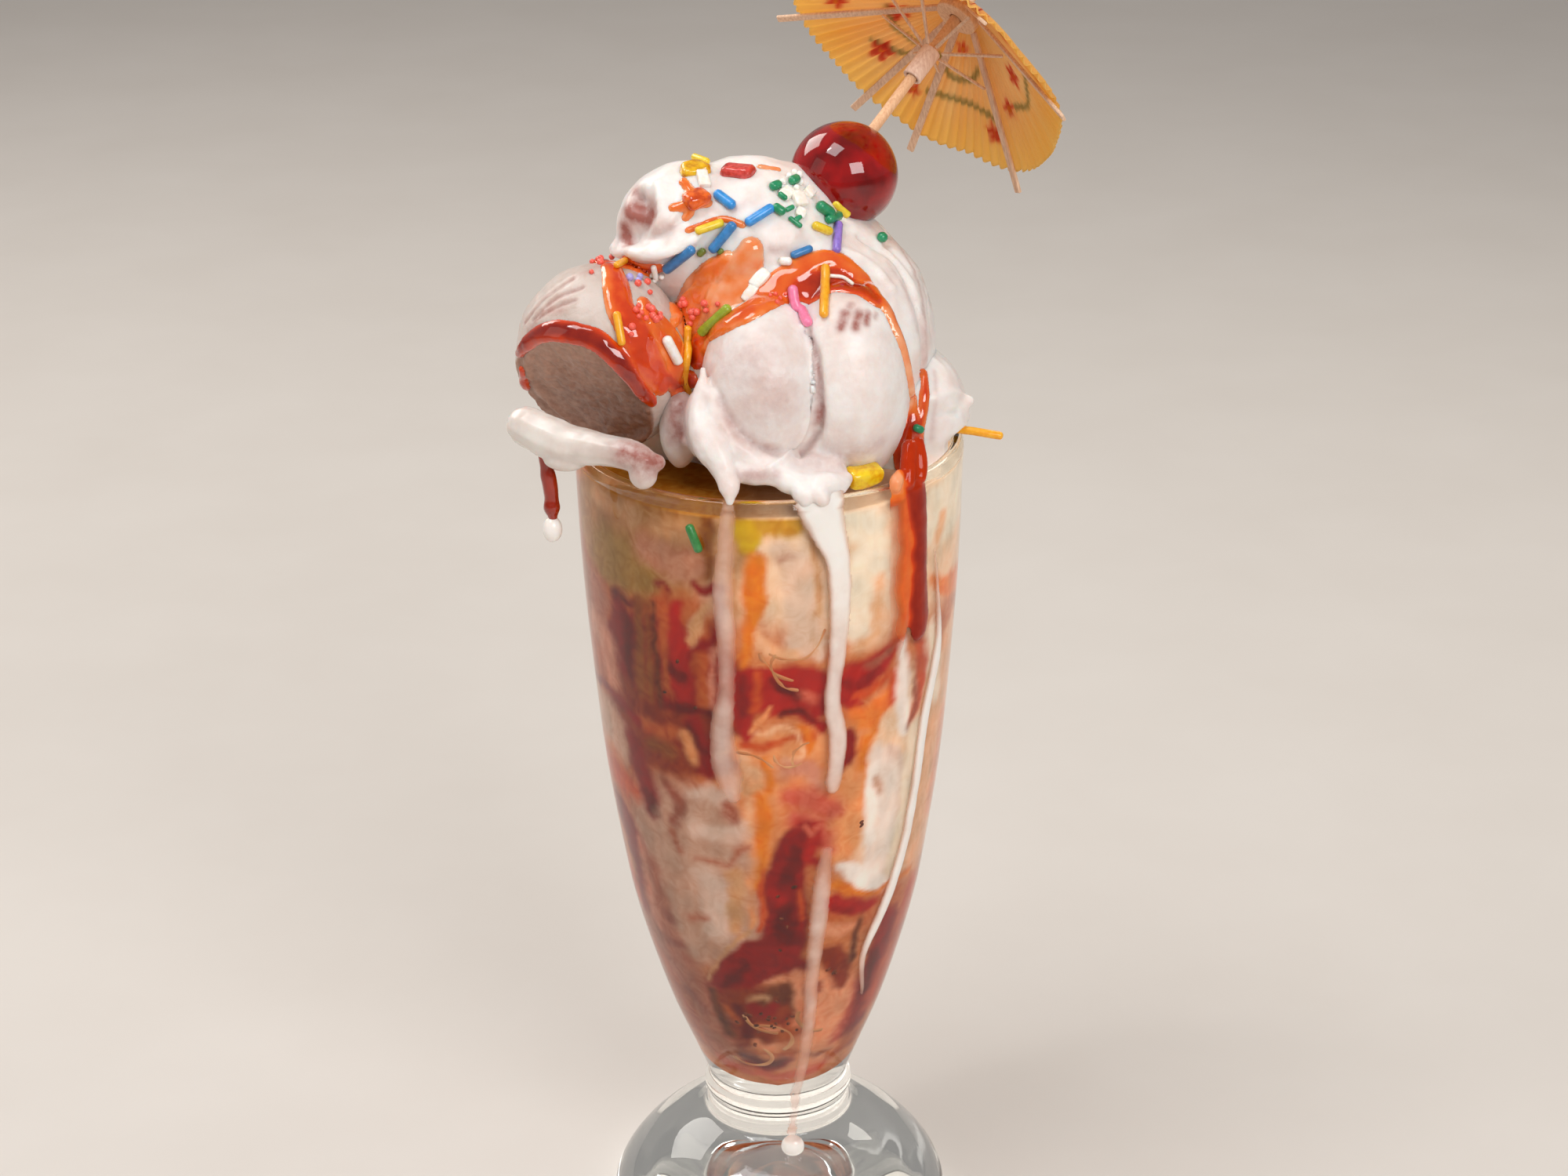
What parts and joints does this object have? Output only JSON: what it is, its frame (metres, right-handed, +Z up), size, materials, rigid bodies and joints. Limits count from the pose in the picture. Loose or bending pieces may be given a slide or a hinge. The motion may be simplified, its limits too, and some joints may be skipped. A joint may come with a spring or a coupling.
{
  "type": "falooda",
  "caption": "Falooda served in a footed soda glass: layers of syrup, noodles, jelly and ice cream, heaped scoops with sauce, a cherry and a paper parasol.",
  "frame": {"origin": "middle of the whole dessert's box, on the surface that the foot stands on; the glass's own axis is at x = -6.0 mm, y = -9.6 mm", "axes": "+Z up along the glass; the eater sits on the -Y side; +X is to the eater's right"},
  "size_m": [0.1231, 0.1075, 0.3094],
  "materials": {
    "glass": "clear pressed soda glass, fire polished",
    "rose_syrup": "thick translucent rose syrup with soaked seeds",
    "ice_cream": "pale pink-white ice cream, scooped, beginning to melt",
    "noodles_in_milk": "vermicelli in sweet milk stained by the syrup",
    "amber_jelly": "translucent amber jelly and milk",
    "candied_cherry": "glossy dark red candied cherry",
    "yellow_fruit": "diced candied fruit, yellow",
    "red_fruit": "diced candied fruit, red",
    "orange_fruit": "diced candied fruit, orange",
    "birch": "pale birch, unvarnished",
    "printed_paper": "thin pleated orange paper, printed with small blossoms"
  },
  "bodies": {
    "root": {"glass": "glass", "syrup_base": "rose_syrup", "lower_ice_cream": "ice_cream", "noodle_layer": "noodles_in_milk", "syrup_band": "rose_syrup", "upper_ice_cream": "ice_cream", "jelly_layer": "amber_jelly", "ice_cream_mound": "ice_cream", "front_scoop": "ice_cream", "left_scoop": "ice_cream", "right_scoop": "ice_cream", "cream_drip": "ice_cream", "cherry": "candied_cherry", "candied_fruit_yellow": "yellow_fruit", "candied_fruit_front": "yellow_fruit", "candied_fruit_red": "red_fruit", "candied_fruit_orange": "orange_fruit", "parasol_stick": "birch", "parasol_collar": "birch", "parasol_hub": "birch", "parasol_canopy": "printed_paper", "parasol_rib_1": "birch", "parasol_strut_1": "birch", "parasol_rib_2": "birch", "parasol_strut_2": "birch", "parasol_rib_3": "birch", "parasol_strut_3": "birch", "parasol_rib_4": "birch", "parasol_strut_4": "birch", "parasol_rib_5": "birch", "parasol_strut_5": "birch", "parasol_rib_6": "birch", "parasol_strut_6": "birch", "parasol_rib_7": "birch", "parasol_strut_7": "birch", "parasol_rib_8": "birch", "parasol_strut_8": "birch"}
  },
  "joints": []
}
